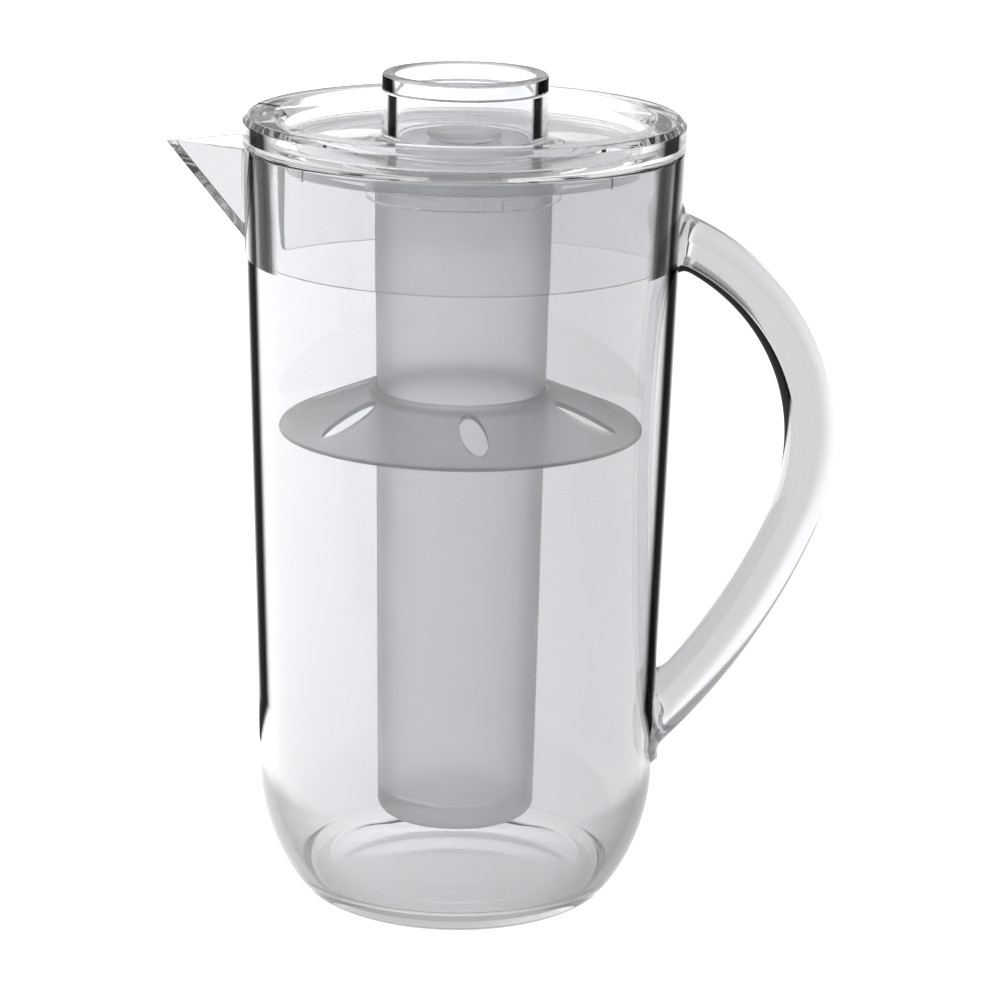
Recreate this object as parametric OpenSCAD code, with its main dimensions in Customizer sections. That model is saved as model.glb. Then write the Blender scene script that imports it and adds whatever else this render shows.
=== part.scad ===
// Fruit infusion pitcher: a clear vessel with a bonded pouring lip and handle, a turning lid with a
// deep skirt, a frosted core tube that hangs from the lid, and a cone baffle that slides on the tube.
// Millimetres, +Z up, origin at the middle of the foot. The handle points to +X and the lip to -X.

/* [Vessel] */
// Outer radius at the rim
rim_r = 70; // [60:0.5:85]
// Height of the rim above the table
rim_z = 248.2; // [230:0.1:290]
// Draft of the wall, as radius lost per millimetre of depth
wall_draft = 0.0245; // [0.01:0.0005:0.035]
// Thickness of the wall
wall = 3.5; // [2.5:0.1:4.5]
// Radius of the rounded lower shoulder
shoulder_r = 66; // [60:0.5:70]
// Height where the shoulder meets the straight wall
shoulder_z = 41; // [36:0.5:46]
// Thickness of the floor
floor_t = 8.8; // [6:0.1:11]
// Radius of the fillet where the shoulder runs into the flat foot
foot_fillet = 8; // [5:0.1:10]
// Radius of the fillet around the inside of the floor
floor_fillet = 2.5; // [1:0.1:5]
// Depth of the shallow recess in the middle of the floor
recess_h = 1; // [0.5:0.1:1.5]
// Distance from the inner fillet to the recess
recess_inset = 8.8; // [5:0.1:12]

/* [Pouring lip] */
// Reach of the tip beyond the rim
lip_reach = 24.9; // [18:0.1:32]
// Depth of the crease below the rim where it meets the wall
lip_drop = 32.2; // [24:0.1:36]
// Half width of the lip where its top edges meet the rim
lip_half_w = 17; // [12:0.5:21]
// Thickness of the lip's two flat walls
lip_wall = 1.9; // [1.5:0.1:3.2]
// Thickness of the bonding pad behind the lip
pad_t = 1.5; // [1:0.1:2.5]
// Margin of the bonding pad around the lip's root
pad_margin = 3.5; // [2:0.1:5]

/* [Handle] */
// Radial thickness of the bar
handle_t = 16; // [12:0.5:19]
// Depth of the bar, front to back
handle_depth = 22; // [16:0.5:26]
// Rounding of the bar's outer edges
handle_round_out = 6; // [2:0.5:7]
// Height of the crown on the bar's inner face
handle_crown = 3; // [1:0.1:4]
// Radius of the bar's middle line in the upper bend
handle_bend = 70.8; // [66:0.1:75]
// Radius of the bar's middle line in the long lower sweep
handle_sweep = 212.4; // [204:0.1:220]
// Reach of the bar's outer face beyond the rim
handle_reach = 51.2; // [48:0.1:56]
// Depth below the rim of the upper bend's centre
handle_centre_drop = 95.1; // [90:0.1:100]
// Angle below level where the bend runs into the sweep
handle_turn = 22; // [18:0.5:26]
// Radius of the flared pad at each root, where it meets the wall
root_pad_r = 12.5; // [11:0.1:16]
// Thickness of the pad at its edge
root_edge = 0.5; // [0.3:0.1:1.5]
// Radius of the concave flare between each pad and the bar
root_flare = 6; // [3:0.1:7]

/* [Lid] */
// Overhang of the lid's edge beyond the rim
lid_overhang = 0.4; // [0.2:0.1:2]
// Height of the lid's outer edge
lid_h = 9.5; // [8:0.1:12]
// Rounding of the lid's top outer edge
lid_edge = 2.3; // [1:0.1:3]
// Width of the flat top ring
lid_ring_w = 9.8; // [7:0.1:11]
// Height and width of the bevel inside the top ring
lid_bevel = 3.5; // [2:0.1:4]
// Thickness of the sunken lid floor
lid_floor_t = 3.5; // [2.5:0.1:4.5]
// Depth of the sunken floor below the lid's top
lid_sink = 8; // [6:0.1:9]
// Turn of the lid from dead centre on the pouring lip
lid_turn = -2.5; // [-15:0.5:15]
// Depth of the skirt below the rim
skirt_h = 35.5; // [34:0.1:45]
// Thickness of the skirt at the lid's floor
skirt_t = 4; // [3:0.1:5]
// Thickness of the skirt at its lower edge
skirt_tip = 1.2; // [0.8:0.1:2]
// Half angle of the pouring window in the skirt
window_half_angle = 17.5; // [12:0.5:22]
// Depth below the rim of the top of the pouring window
window_top = 4; // [3:0.5:8]
// Rounding of the skirt's lower corners beside the window
window_round = 4; // [2:0.5:6]
// Depth below the rim of the four locating ribs
rib_h = 4.7; // [3:0.1:8]
// Width of each locating rib
rib_w = 1.2; // [0.8:0.1:2]
// How far each locating rib stands out of the skirt
rib_out = 0.5; // [0.3:0.1:0.5]
// Distance from the skirt in to the drip ring under the lid
drip_inset = 5.3; // [4.5:0.1:12]
// Thickness of the drip ring
drip_t = 3; // [2:0.1:4]
// Height of the drip ring
drip_h = 4.6; // [2:0.1:8]
// Depth of the wedge-shaped pouring mark in the top ring
mark_h = 0.35; // [0.2:0.05:1]

/* [Lid collar] */
// Outer radius of the collar
collar_r = 26.4; // [24:0.1:30]
// Height of the collar above the lid's top
collar_h = 13.2; // [10:0.1:25]
// Thickness of the collar's wall
collar_wall = 5; // [3.5:0.1:6]
// Extra bore at the collar's mouth
mouth_step = 0.8; // [0.4:0.1:1.5]
// Depth of the wider mouth
mouth_h = 5.2; // [3:0.1:7]
// Height of the floor of the well above the sunken lid floor
well_rise = 0.25; // [0:0.05:3]
// Thickness of the well's floor
well_floor_t = 2.8; // [2:0.1:4]

/* [Core tube] */
// Outer radius of the tube at the rim's height
tube_r = 28.25; // [24:0.05:32]
// Draft of the tube, as radius lost per millimetre of depth
tube_draft = 0.0111; // [0.005:0.0001:0.016]
// Thickness of the tube's wall
tube_wall = 1.9; // [1.4:0.1:2.6]
// Thickness of the tube's closed bottom
tube_floor_t = 7; // [4:0.1:10]
// Space between the tube and the vessel's floor
tube_floor_gap = 17.5; // [12:0.1:40]
// Rounding of the tube's bottom edge
tube_round = 3; // [1.5:0.1:4.5]
// Number of lugs that hang the tube in the lid's socket
lug_count = 3; // [2:1:4]
// How far each lug stands out of the tube
lug_out = 1.4; // [1:0.1:1.8]
// Width of each lug
lug_w = 6; // [4:0.1:9]
// Height of each lug
lug_h = 3; // [2:0.1:4]
// Depth of the lugs below the tube's top
lug_drop = 4.5; // [4:0.1:6]
// Turn of the first lug from the handle side
lug_turn = 7; // [0:0.5:60]
// Length of the socket under the lid that holds the tube
socket_h = 12.9; // [11:0.1:18]
// Thickness of the socket's wall outside the lug groove
socket_skin = 1.2; // [1:0.1:2]
// Turn from a lug at rest to the slot that lets it out of the socket
slot_turn = 40; // [25:0.5:45]
// Thickness of the soft seal ring above the tube
seal_t = 1.7; // [1:0.1:2.5]

/* [Plug] */
// Overlap of the plug's head on the rim of its hole
plug_lap = 3; // [2:0.1:5]
// Thickness of the plug's head
plug_head_t = 2.2; // [1.5:0.1:4]
// Rounding of the head's top edge
plug_edge = 0.5; // [0.3:0.1:0.8]
// Radius of the plug's stem
plug_stem_r = 8.9; // [6:0.1:10]
// Length of the plug's stem below the well's floor
plug_stem_out = 1.1; // [1:0.1:3]

/* [Fruit baffle] */
// Gap between the baffle's edge and the vessel's wall
baffle_gap = 5.5; // [3:0.1:15]
// Depth of the baffle's edge below the rim
baffle_drop = 90.8; // [75:0.1:105]
// Rise of the cone from its edge to the tube
baffle_rise = 11.9; // [6:0.1:20]
// Thickness of the cone
baffle_t = 1.6; // [1.2:0.1:2.5]
// Width of the hub ring around the tube
hub_w = 1.6; // [1.2:0.1:3]
// Height of the hub ring
hub_h = 4; // [3:0.1:7]
// Number of oval holes
hole_count = 6; // [4:1:8]
// Length of each oval hole along the slope
hole_len = 20.5; // [10:0.5:22]
// Width of each oval hole
hole_w = 8.2; // [5:0.1:10]
// Distance of each oval hole from the middle of the slope towards the tube
hole_shift = 1.2; // [0:0.1:2]
// Slant of each oval hole from the radial line
hole_slant = 6.5; // [0:0.5:20]
// Turn of the first oval hole from the handle side
hole_turn = 35.5; // [0:0.5:60]

/* [Fits] */
// Gap between pieces that are bonded or pressed together
bond_gap = 0.05; // [0.02:0.01:0.1]
// Gap under the lid's edge where it rests on the rim
seat_gap = 0.2; // [0.1:0.05:0.4]
// Gap between the skirt and the vessel's bore
skirt_gap = 0.9; // [0.9:0.05:1.5]
// Gap between the tube, with its lugs, and the lid's socket
socket_gap = 0.35; // [0.3:0.05:0.5]
// Gap between the plug and its hole
plug_gap = 0.3; // [0.2:0.05:0.5]
// Gap between the baffle's hub and the tube
hub_gap = 0.3; // [0.25:0.05:0.6]

/* [Hidden] */
$fn = 144;
CLEAR = [0.90, 0.93, 0.95, 0.35];
FROSTED = [0.72, 0.73, 0.75];
SILICONE = [0.93, 0.93, 0.92];

// Points along an arc, from one angle to another
function arc(c, r, from, to, steps = 10) =
    [for (i = [0:steps]) let (a = from + (to - from) * i / steps) [c[0] + r * cos(a), c[1] + r * sin(a)]];

// Outer radius of the vessel's straight wall, its bore and the tube's outer radius at a height
function out_r(z) = rim_r - wall_draft * (rim_z - z);
function bore_r(z) = out_r(z) - wall;
function tube_out_r(z) = tube_r - tube_draft * (rim_z - z);

// Lower shoulder: one arc from the wall, then a fillet that meets the flat foot
draft_angle = atan(wall_draft);
shoulder_c = [out_r(shoulder_z) - shoulder_r * cos(draft_angle), shoulder_z + shoulder_r * sin(draft_angle)];
foot_lift = shoulder_c[1] - foot_fillet;
foot_r = shoulder_c[0] + sqrt(pow(shoulder_r - foot_fillet, 2) - pow(foot_lift, 2));
foot_c = [foot_r, foot_fillet];
foot_join = atan2(-foot_lift, foot_r - shoulder_c[0]);
bore_shoulder_r = shoulder_r - wall;
floor_lift = shoulder_c[1] - floor_t - floor_fillet;
floor_r = shoulder_c[0] + sqrt(pow(bore_shoulder_r - floor_fillet, 2) - pow(floor_lift, 2));
floor_c = [floor_r, floor_t + floor_fillet];
floor_join = atan2(-floor_lift, floor_r - shoulder_c[0]);
recess_r = floor_r - recess_inset;
rim_round = wall / 4;

// Pouring lip: the crease leans out from the wall to the tip
lip_x = rim_r + lip_reach;
lip_lean = atan((lip_x - out_r(rim_z - lip_drop)) / lip_drop);
lip_run = (lip_x - sqrt(rim_r * rim_r - lip_half_w * lip_half_w)) * cos(lip_lean);
lip_open = atan(lip_half_w / lip_run);
lip_shift = lip_wall / sin(lip_open);
lip_len = 2 * lip_drop / cos(lip_lean);

// Handle: the upper bend and the lower sweep share their tangent at the turn
handle_c = [rim_r + handle_reach - handle_t / 2 - handle_bend, rim_z - handle_centre_drop];
sweep_c = handle_c - (handle_sweep - handle_bend) * [cos(handle_turn), -sin(handle_turn)];
bend_end = 110;
sweep_end = 31;
upper_root_x = out_r(handle_c[1] + handle_bend) - handle_c[0];
upper_root_z = handle_c[1] + sqrt(handle_bend * handle_bend - upper_root_x * upper_root_x);
lower_root_x = out_r(shoulder_z) - sweep_c[0];
lower_root_z = sweep_c[1] - sqrt(handle_sweep * handle_sweep - lower_root_x * lower_root_x);

// Lid heights and radii
lid_z = rim_z + seat_gap;
lid_top = lid_z + lid_h;
lid_r = rim_r + lid_overhang;
ring_r = lid_r - lid_ring_w;
dish_r = ring_r - lid_bevel;
dish_z = lid_top - lid_sink;
under_z = dish_z - lid_floor_t;
collar_top = lid_top + collar_h;
collar_in = collar_r - collar_wall;
mouth_r = collar_in + mouth_step;
well_z = dish_z + well_rise;
well_under_z = well_z - well_floor_t;
fillet = 1.2;
skirt_bottom = rim_z - skirt_h;
skirt_top_r = bore_r(rim_z) - skirt_gap;
skirt_low_r = bore_r(skirt_bottom) - skirt_gap;
skirt_in_top = skirt_top_r - skirt_t;
drip_r = skirt_in_top - drip_inset;
window_half_w = skirt_top_r * sin(window_half_angle);
window_z = rim_z - window_top;
window_in = (drip_r + skirt_in_top * cos(window_half_angle)) / 2;
mark_out = lid_r * sin(14);
mark_in = dish_r * sin(7);
hole_r = plug_stem_r + plug_gap;
plug_head_r = plug_stem_r + plug_lap;

// Core tube heights and radii
tube_top = under_z - seal_t - seat_gap;
tube_bottom = floor_t + tube_floor_gap;
tube_in_bottom = tube_bottom + tube_floor_t;
lug_z = tube_top - lug_drop - lug_h / 2;
lug_r = tube_out_r(lug_z) + lug_out;
socket_r = tube_out_r(tube_top) + socket_gap;
groove_r = lug_r + socket_gap;
slot_r = lug_r + 0.7 * socket_gap;
groove_half = lug_h / 2 + socket_gap;
socket_out = groove_r + socket_skin;
socket_bottom = under_z - socket_h;
seal_in = tube_out_r(tube_top) - tube_wall;

// Fruit baffle heights and radii
baffle_z = rim_z - baffle_drop;
baffle_r = bore_r(baffle_z) - baffle_gap;
hub_z = baffle_z + baffle_rise;
hub_r = tube_out_r(hub_z) + hub_gap + hub_w;
baffle_slope = atan(baffle_rise / (baffle_r - hub_r));
hole_mid = (baffle_r + hub_r) / 2 - hole_shift;

// Outside of the vessel as one solid, grown outward by a given amount
module vessel_outside(grow = 0, top = rim_z) {
    rotate_extrude()
        polygon(concat(
            [[0, -grow]],
            arc(foot_c, foot_fillet + grow, -90, foot_join, 8),
            arc(shoulder_c, shoulder_r + grow, foot_join, -draft_angle, 16),
            [[out_r(top) + grow, top], [0, top]]
        ));
}

// Space inside the vessel
module vessel_inside() {
    rotate_extrude()
        polygon(concat(
            [[0, floor_t - recess_h], [recess_r, floor_t - recess_h], [recess_r + recess_h, floor_t]],
            arc(floor_c, floor_fillet, -90, floor_join, 8),
            arc(shoulder_c, bore_shoulder_r, floor_join, -draft_angle, 16),
            [[bore_r(rim_z + 1), rim_z + 1], [0, rim_z + 1]]
        ));
}

// Ring taken off the rim's outer edge to round it
module rim_rounding() {
    rotate_extrude()
        polygon(concat(
            arc([out_r(rim_z) - rim_round, rim_z - rim_round], rim_round, 0, 90, 6),
            [[out_r(rim_z) - rim_round, rim_z + 1], [rim_r + 1, rim_z + 1], [rim_r + 1, rim_z - rim_round]]
        ));
}

// Wedge with its edge along the lip's crease, moved inward from the outer crease by a given amount
module lip_wedge(shift = 0) {
    translate([-lip_x, 0, rim_z])
        rotate([0, -lip_lean, 0])
            linear_extrude(height = 2 * lip_len, center = true)
                polygon([
                    [shift, 0],
                    [shift + rim_r, rim_r * tan(lip_open)],
                    [shift + rim_r, -rim_r * tan(lip_open)]
                ]);
}

// Everything below the rim on the lip's side
module lip_side() {
    translate([-2 * rim_r, -rim_r, 0])
        cube([1.5 * rim_r, 2 * rim_r, rim_z]);
}

module pitcher_body() {
    color(CLEAR)
        difference() {
            vessel_outside();
            vessel_inside();
            rim_rounding();
            intersection() {
                lip_wedge(lip_shift);
                translate([0, 0, 1])
                    lip_side();
            }
        }
}

// Thin curved pad behind the lip, a little wider than the lip's root
module lip_pad() {
    low_z = rim_z - lip_drop - pad_margin;
    intersection() {
        vessel_outside(pad_t);
        translate([-lip_x, 0, 0])
            rotate([90, 0, 90])
                linear_extrude(height = lip_x)
                    polygon([
                        [lip_half_w + pad_margin, rim_z],
                        [-lip_half_w - pad_margin, rim_z],
                        [-pad_margin, low_z],
                        [pad_margin, low_z]
                    ]);
    }
}

module pour_spout() {
    color(CLEAR)
        difference() {
            union() {
                intersection() {
                    lip_wedge();
                    lip_side();
                }
                lip_pad();
            }
            lip_wedge(lip_shift);
            vessel_outside(bond_gap, rim_z + 1);
        }
}

// Cross-section of the handle's bar, centred, with its outer face towards +X
module handle_section() {
    half = handle_t / 2;
    side = handle_depth / 2;
    crown_r = (side * side + handle_crown * handle_crown) / (2 * handle_crown);
    crown_a = asin(side / crown_r);
    polygon(concat(
        arc([half - handle_round_out, side - handle_round_out], handle_round_out, 0, 90, 8),
        arc([crown_r - half, 0], crown_r, 180 - crown_a, 180 + crown_a, 12),
        arc([half - handle_round_out, handle_round_out - side], handle_round_out, 270, 360, 8)
    ));
}

// Stretch of the bar that starts level with its centre and turns through an angle
module handle_arc(r, turn) {
    rotate_extrude(angle = turn)
        translate([r, 0])
            handle_section();
}

// The bar: from the turn the bend runs up to the wall and the sweep runs down to it
module handle_bar() {
    translate([handle_c[0], 0, handle_c[1]])
        rotate([90, 0, 0])
            rotate([0, 0, -handle_turn])
                union() {
                    handle_arc(handle_bend, bend_end);
                    translate([handle_bend - handle_sweep, 0, 0])
                        mirror([0, 1, 0])
                            handle_arc(handle_sweep, sweep_end);
                }
}

// Flared pad that the bar grows out of, on an axis square to the wall at a height
module root_pad(z) {
    translate([out_r(z), 0, z])
        rotate([0, 90, 0])
            rotate_extrude()
                polygon(concat(
                    [[0, -root_flare], [root_pad_r, -root_flare]],
                    arc([root_pad_r, root_flare + root_edge], root_flare, 270, 180, 8),
                    [[0, root_flare + root_edge]]
                ));
}

module handle() {
    color(CLEAR)
        difference() {
            union() {
                handle_bar();
                root_pad(upper_root_z);
                root_pad(lower_root_z);
            }
            vessel_outside(bond_gap, rim_z + 1);
        }
}

// Lid as one turned form, from the flat top ring round to the skirt
module lid_turned() {
    rotate_extrude()
        polygon(concat(
            [[skirt_top_r, lid_z], [lid_r, lid_z]],
            arc([lid_r - lid_edge, lid_top - lid_edge], lid_edge, 0, 90, 8),
            [[ring_r, lid_top], [dish_r, lid_top - lid_bevel]],
            arc([dish_r - fillet, dish_z + fillet], fillet, 360, 270, 6),
            arc([collar_r + fillet, dish_z + fillet], fillet, 270, 180, 6),
            arc([collar_r - fillet, collar_top - fillet], fillet, 0, 90, 6),
            arc([mouth_r + fillet, collar_top - fillet], fillet, 90, 180, 6),
            [[mouth_r, collar_top - mouth_h], [collar_in, collar_top - mouth_h - mouth_step]],
            arc([collar_in - fillet, well_z + fillet], fillet, 360, 270, 6),
            [[hole_r, well_z], [hole_r, well_under_z]],
            [[collar_in - fillet, well_under_z], [collar_in - fillet, under_z], [socket_r, under_z]],
            [[socket_r, lug_z + groove_half], [groove_r, lug_z + groove_half]],
            [[groove_r, lug_z - groove_half], [socket_r, lug_z - groove_half]],
            [[socket_r, socket_bottom], [socket_out, socket_bottom], [socket_out, under_z]],
            [[drip_r - drip_t, under_z], [drip_r - drip_t, under_z - drip_h]],
            [[drip_r, under_z - drip_h], [drip_r, under_z], [skirt_in_top, under_z]],
            [[skirt_low_r - skirt_tip, skirt_bottom], [skirt_low_r, skirt_bottom]]
        ));
}

// Window in the skirt, seen square on, with the skirt's lower corners rounded off beside it
module window_outline() {
    depth = window_z - skirt_bottom + 1;
    translate([-window_half_w, skirt_bottom - 1])
        square([2 * window_half_w, depth]);
    for (side = [-1, 1])
        translate([side * window_half_w, skirt_bottom])
            difference() {
                translate([-window_round, -1])
                    square([2 * window_round, 1 + window_round]);
                translate([side * window_round, window_round])
                    circle(r = window_round);
            }
}

// Shallow wedge taken out of the top ring and its bevel, in line with the window
module pouring_mark() {
    intersection() {
        translate([0, 0, dish_z])
            linear_extrude(height = lid_sink + 1)
                polygon([
                    [-lid_r - 1, mark_out],
                    [-dish_r + 1, mark_in],
                    [-dish_r + 1, -mark_in],
                    [-lid_r - 1, -mark_out]
                ]);
        rotate_extrude()
            polygon([
                [lid_r + 1, lid_top + 1],
                [lid_r + 1, lid_top - mark_h],
                [ring_r, lid_top - mark_h],
                [dish_r - 1, lid_top - lid_bevel - mark_h - 1],
                [dish_r - 1, lid_top + 1]
            ]);
    }
}

// Short rib under the lid's edge with a sloped foot, which centres the lid in the bore
module lid_rib() {
    translate([skirt_top_r, rib_w / 2, rim_z])
        rotate([90, 0, 0])
            linear_extrude(height = rib_w)
                polygon([[-1, 1], [rib_out, 1], [rib_out, rib_out - rib_h], [-1, -rib_h - 1]]);
}

// Slots in the socket that let the tube's lugs in and out of the groove
module lug_slots() {
    half_w = lug_w / 2 + socket_gap;
    for (i = [0:lug_count - 1])
        rotate([0, 0, lug_turn + slot_turn - lid_turn + 360 * i / lug_count])
            intersection() {
                translate([0, -half_w, socket_bottom - 1])
                    cube([socket_out, 2 * half_w, lug_z - socket_bottom + 1]);
                translate([0, 0, socket_bottom - 1])
                    cylinder(r = slot_r, h = lug_z - socket_bottom + 1);
            }
}

module lid() {
    color(CLEAR)
        rotate([0, 0, lid_turn])
            union() {
                difference() {
                    lid_turned();
                    translate([-lid_r, 0, 0])
                        rotate([90, 0, 90])
                            linear_extrude(height = lid_r - window_in)
                                window_outline();
                    pouring_mark();
                    lug_slots();
                }
                for (a = [45:90:315])
                    rotate([0, 0, a])
                        lid_rib();
            }
}

module core_seal() {
    color(SILICONE)
        translate([0, 0, under_z - bond_gap - seal_t])
            difference() {
                cylinder(r = socket_r - socket_gap, h = seal_t);
                translate([0, 0, -1])
                    cylinder(r = seal_in, h = seal_t + 2);
            }
}

// Lugs around the tube's top, which hang in the groove of the lid's socket
module tube_lugs() {
    root_r = tube_out_r(lug_z) - tube_wall / 2;
    for (i = [0:lug_count - 1])
        rotate([0, 0, lug_turn + 360 * i / lug_count])
            intersection() {
                translate([root_r, -lug_w / 2, lug_z - lug_h / 2])
                    cube([tube_wall + lug_out, lug_w, lug_h]);
                translate([0, 0, lug_z - lug_h / 2])
                    cylinder(r = lug_r, h = lug_h);
            }
}

module core_tube() {
    low_r = tube_out_r(tube_bottom);
    in_low_r = tube_out_r(tube_in_bottom) - tube_wall;
    color(FROSTED) {
        rotate_extrude()
            polygon(concat(
                [[0, tube_bottom]],
                arc([low_r - tube_round, tube_bottom + tube_round], tube_round, 270, 360, 8),
                [[tube_out_r(tube_top), tube_top], [tube_out_r(tube_top) - tube_wall, tube_top]],
                arc([in_low_r - tube_round, tube_in_bottom + tube_round], tube_round, 360, 270, 8),
                [[0, tube_in_bottom]]
            ));
        tube_lugs();
    }
}

module core_plug() {
    head_z = well_z + seat_gap;
    head_under = plug_head_t - plug_edge;
    stem_round = plug_stem_out / 2;
    stem_end = well_under_z - plug_stem_out;
    color(FROSTED)
        rotate_extrude()
            polygon(concat(
                [[0, stem_end], [plug_stem_r - stem_round, stem_end], [plug_stem_r, stem_end + stem_round]],
                [[plug_stem_r, head_z]],
                arc([plug_head_r - head_under, head_z + head_under], head_under, 270, 360, 8),
                arc([plug_head_r - plug_edge, head_z + head_under], plug_edge, 0, 90, 4),
                [[0, head_z + plug_head_t]]
            ));
}

// Cone of the baffle with its thin rounded edge and the hub ring around the tube
module baffle_cone() {
    half = baffle_t / 2;
    lift = half / cos(baffle_slope);
    hub_low = hub_z - hub_h + lift;
    rotate_extrude()
        polygon(concat(
            arc([baffle_r - half, baffle_z], half, -90 - baffle_slope, 90 - baffle_slope, 8),
            [[hub_r, hub_z + lift], [tube_out_r(hub_z + lift) + hub_gap, hub_z + lift]],
            [[tube_out_r(hub_low) + hub_gap, hub_low], [tube_out_r(hub_low) + hub_gap + hub_w, hub_low]],
            [[hub_r, hub_z - lift]]
        ));
}

// Upright oval prism that cuts one hole
module oval(len, w, h) {
    steps = 36;
    linear_extrude(height = h)
        polygon([for (i = [0:steps - 1]) [len / 2 * cos(360 * i / steps), w / 2 * sin(360 * i / steps)]]);
}

module fruit_baffle() {
    color(FROSTED)
        difference() {
            baffle_cone();
            for (i = [0:hole_count - 1])
                rotate([0, 0, hole_turn + 360 * i / hole_count])
                    translate([hole_mid, 0, baffle_z - 5])
                        rotate([0, 0, hole_slant])
                            oval(hole_len, hole_w, baffle_rise + 10);
        }
}

pitcher_body();
pour_spout();
handle();
lid();
core_seal();
core_tube();
core_plug();
fruit_baffle();
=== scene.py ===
import math

import bmesh
import bpy
from mathutils import Matrix, Vector


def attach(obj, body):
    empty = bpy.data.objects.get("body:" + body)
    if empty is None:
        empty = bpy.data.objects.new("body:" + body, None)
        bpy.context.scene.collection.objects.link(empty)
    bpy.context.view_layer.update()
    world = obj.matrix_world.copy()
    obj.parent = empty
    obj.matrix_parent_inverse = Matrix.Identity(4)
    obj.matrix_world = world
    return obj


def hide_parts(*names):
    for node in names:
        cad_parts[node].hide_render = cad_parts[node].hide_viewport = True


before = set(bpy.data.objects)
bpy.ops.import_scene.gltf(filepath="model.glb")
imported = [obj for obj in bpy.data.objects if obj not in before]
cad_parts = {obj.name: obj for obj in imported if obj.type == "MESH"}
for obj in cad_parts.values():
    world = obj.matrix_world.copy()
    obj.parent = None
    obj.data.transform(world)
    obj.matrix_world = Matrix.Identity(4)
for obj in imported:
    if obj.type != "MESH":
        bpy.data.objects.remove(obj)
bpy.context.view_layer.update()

# A clear pitcher with a pouring lip, a loop handle and a lid that carries a frosted tube, plug and baffle.
# Meshes are made in millimetres and turned into metres at the end.
MM = 0.001
TURNS = 288          # facets round a turned piece
SMALL_TURNS = 144    # facets round the plug and the seal
SMOOTH_ANGLE = math.radians(28)
WELD = 1e-4          # points closer than this become one
ON_AXIS = 1e-6       # a smaller radius is a point on the axis
PAST = 1.0           # how far a cutter runs past what it cuts

# Small edges that several pieces share
CHAMFER = 0.3
EASE = 0.15          # height of a softened corner
LAND = 0.4           # narrow flat beside a corner

# Gaps between pieces
SEAT_GAP = 0.2
SKIRT_GAP = 0.9
BOND_GAP = 0.05
SOCKET_GAP = 0.35
PLUG_GAP = 0.3
HUB_GAP = 0.3

# Vessel: its wall narrows downwards by the draft, and the shoulder's arc leads to the foot
RIM_R = 70.0
RIM_Z = 248.2
DRAFT = 0.0245
WALL = 3.5
WALL_RINGS = (80, 120, 160, 200, 230)    # heights of rings in the wall's mesh
SHOULDER_R = 66.0
SHOULDER_Z = 41.0
FOOT_FILLET = 8.0
FLOOR_T = 8.8
FLOOR_FILLET = 2.5
RECESS_H = 1.0
RECESS_INSET = 8.8

# Pouring lip: two walls that meet in a leaning crease, on a pad that thins downwards
LIP_REACH = 24.9
LIP_DROP = 32.2
LIP_HALF_W = 17.0
LIP_WALL = 1.9
CREASE_OUT = 0.3
CREASE_IN = 0.5
PAD_T = 1.5
PAD_TIP = 0.2
PAD_MARGIN = 3.5

# Handle: a wide sweep from the lower root and a tighter bend to the upper one; spans in degrees
HANDLE_T = 16.0
HANDLE_DEPTH = 22.0
HANDLE_REACH = 51.2
HANDLE_DROP = 95.1
HANDLE_TURN = 22.0   # degrees below level where the sweep meets the bend
HANDLE_SWEEP = 212.4
SWEEP_SPAN = 27.5
SWEEP_STEPS = 60
HANDLE_BEND = 70.8
BEND_SPAN = 101.0
BEND_STEPS = 90
HANDLE_ROUND = 6.0
HANDLE_CROWN = 3.0
CROWN_STOP = 1.0     # degrees that the crown's arc stops short of the bar's corners
ROOT_FLARE = 3.5

# Lid: ring, bevel, sunken dish and collar above, skirt, drip ring and tube socket below
LID_R = RIM_R + 0.4
LID_H = 9.5
LID_EDGE = 2.3
LID_FLOOR_T = 3.5
LID_TURN = -2.5
SIDE_ROUND = 0.6
TOP_ROUND = 0.9
RING_W = 9.8
BEVEL = 3.5
BEVEL_TOP = ((LAND, 0), (0, -0.12), (-0.35, -0.45))    # eased edge, from the bevel's upper corner
BEVEL_FOOT = ((0.25, 0.2), (0, -0.2))                  # eased edge, from its lower corner
SINK = 8.0
FILLET = 1.2
COLLAR_R = 26.4
COLLAR_H = 13.2
COLLAR_WALL = 5.0
MOUTH_STEP = 0.8
MOUTH_H = 5.2
WELL_RISE = 0.25
WELL_T = 2.8
SKIRT_H = 35.5
SKIRT_T = 4.0
SKIRT_TIP = 1.2
SKIRT_FILLET = 1.0
WINDOW_HALF = 17.5   # degrees from the window's middle to its side
WINDOW_TOP = 4.0
WINDOW_ROUND = 4.0
WINDOW_NARROW = 7.0  # how much closer to the middle its side ends at the top
WINDOW_TIP = 2.0
MARK_H = 0.35
MARK_OUT = 14.0      # degrees from the mark's middle to its side, on the lid's edge
MARK_IN = 7.0        # the same on the dish's edge
RIB_H = 4.7
RIB_W = 1.2
RIB_OUT = 0.5
RIB_TURNS = (45, 135, 225, 315)
DRIP_INSET = 5.3
DRIP_T = 3.0
DRIP_H = 4.6
DRIP_ROUND = 0.5
SOCKET_H = 12.9
SOCKET_SKIN = 1.2
SOCKET_FILLET = 0.8
SLOT_TURN = 40.0
SLOT_FROM = 20.0     # radius where a slot's cutter begins, in the socket's bore
SLOT_SHARE = 0.7     # share of the socket's gap that an entry slot leaves past a lug

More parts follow.
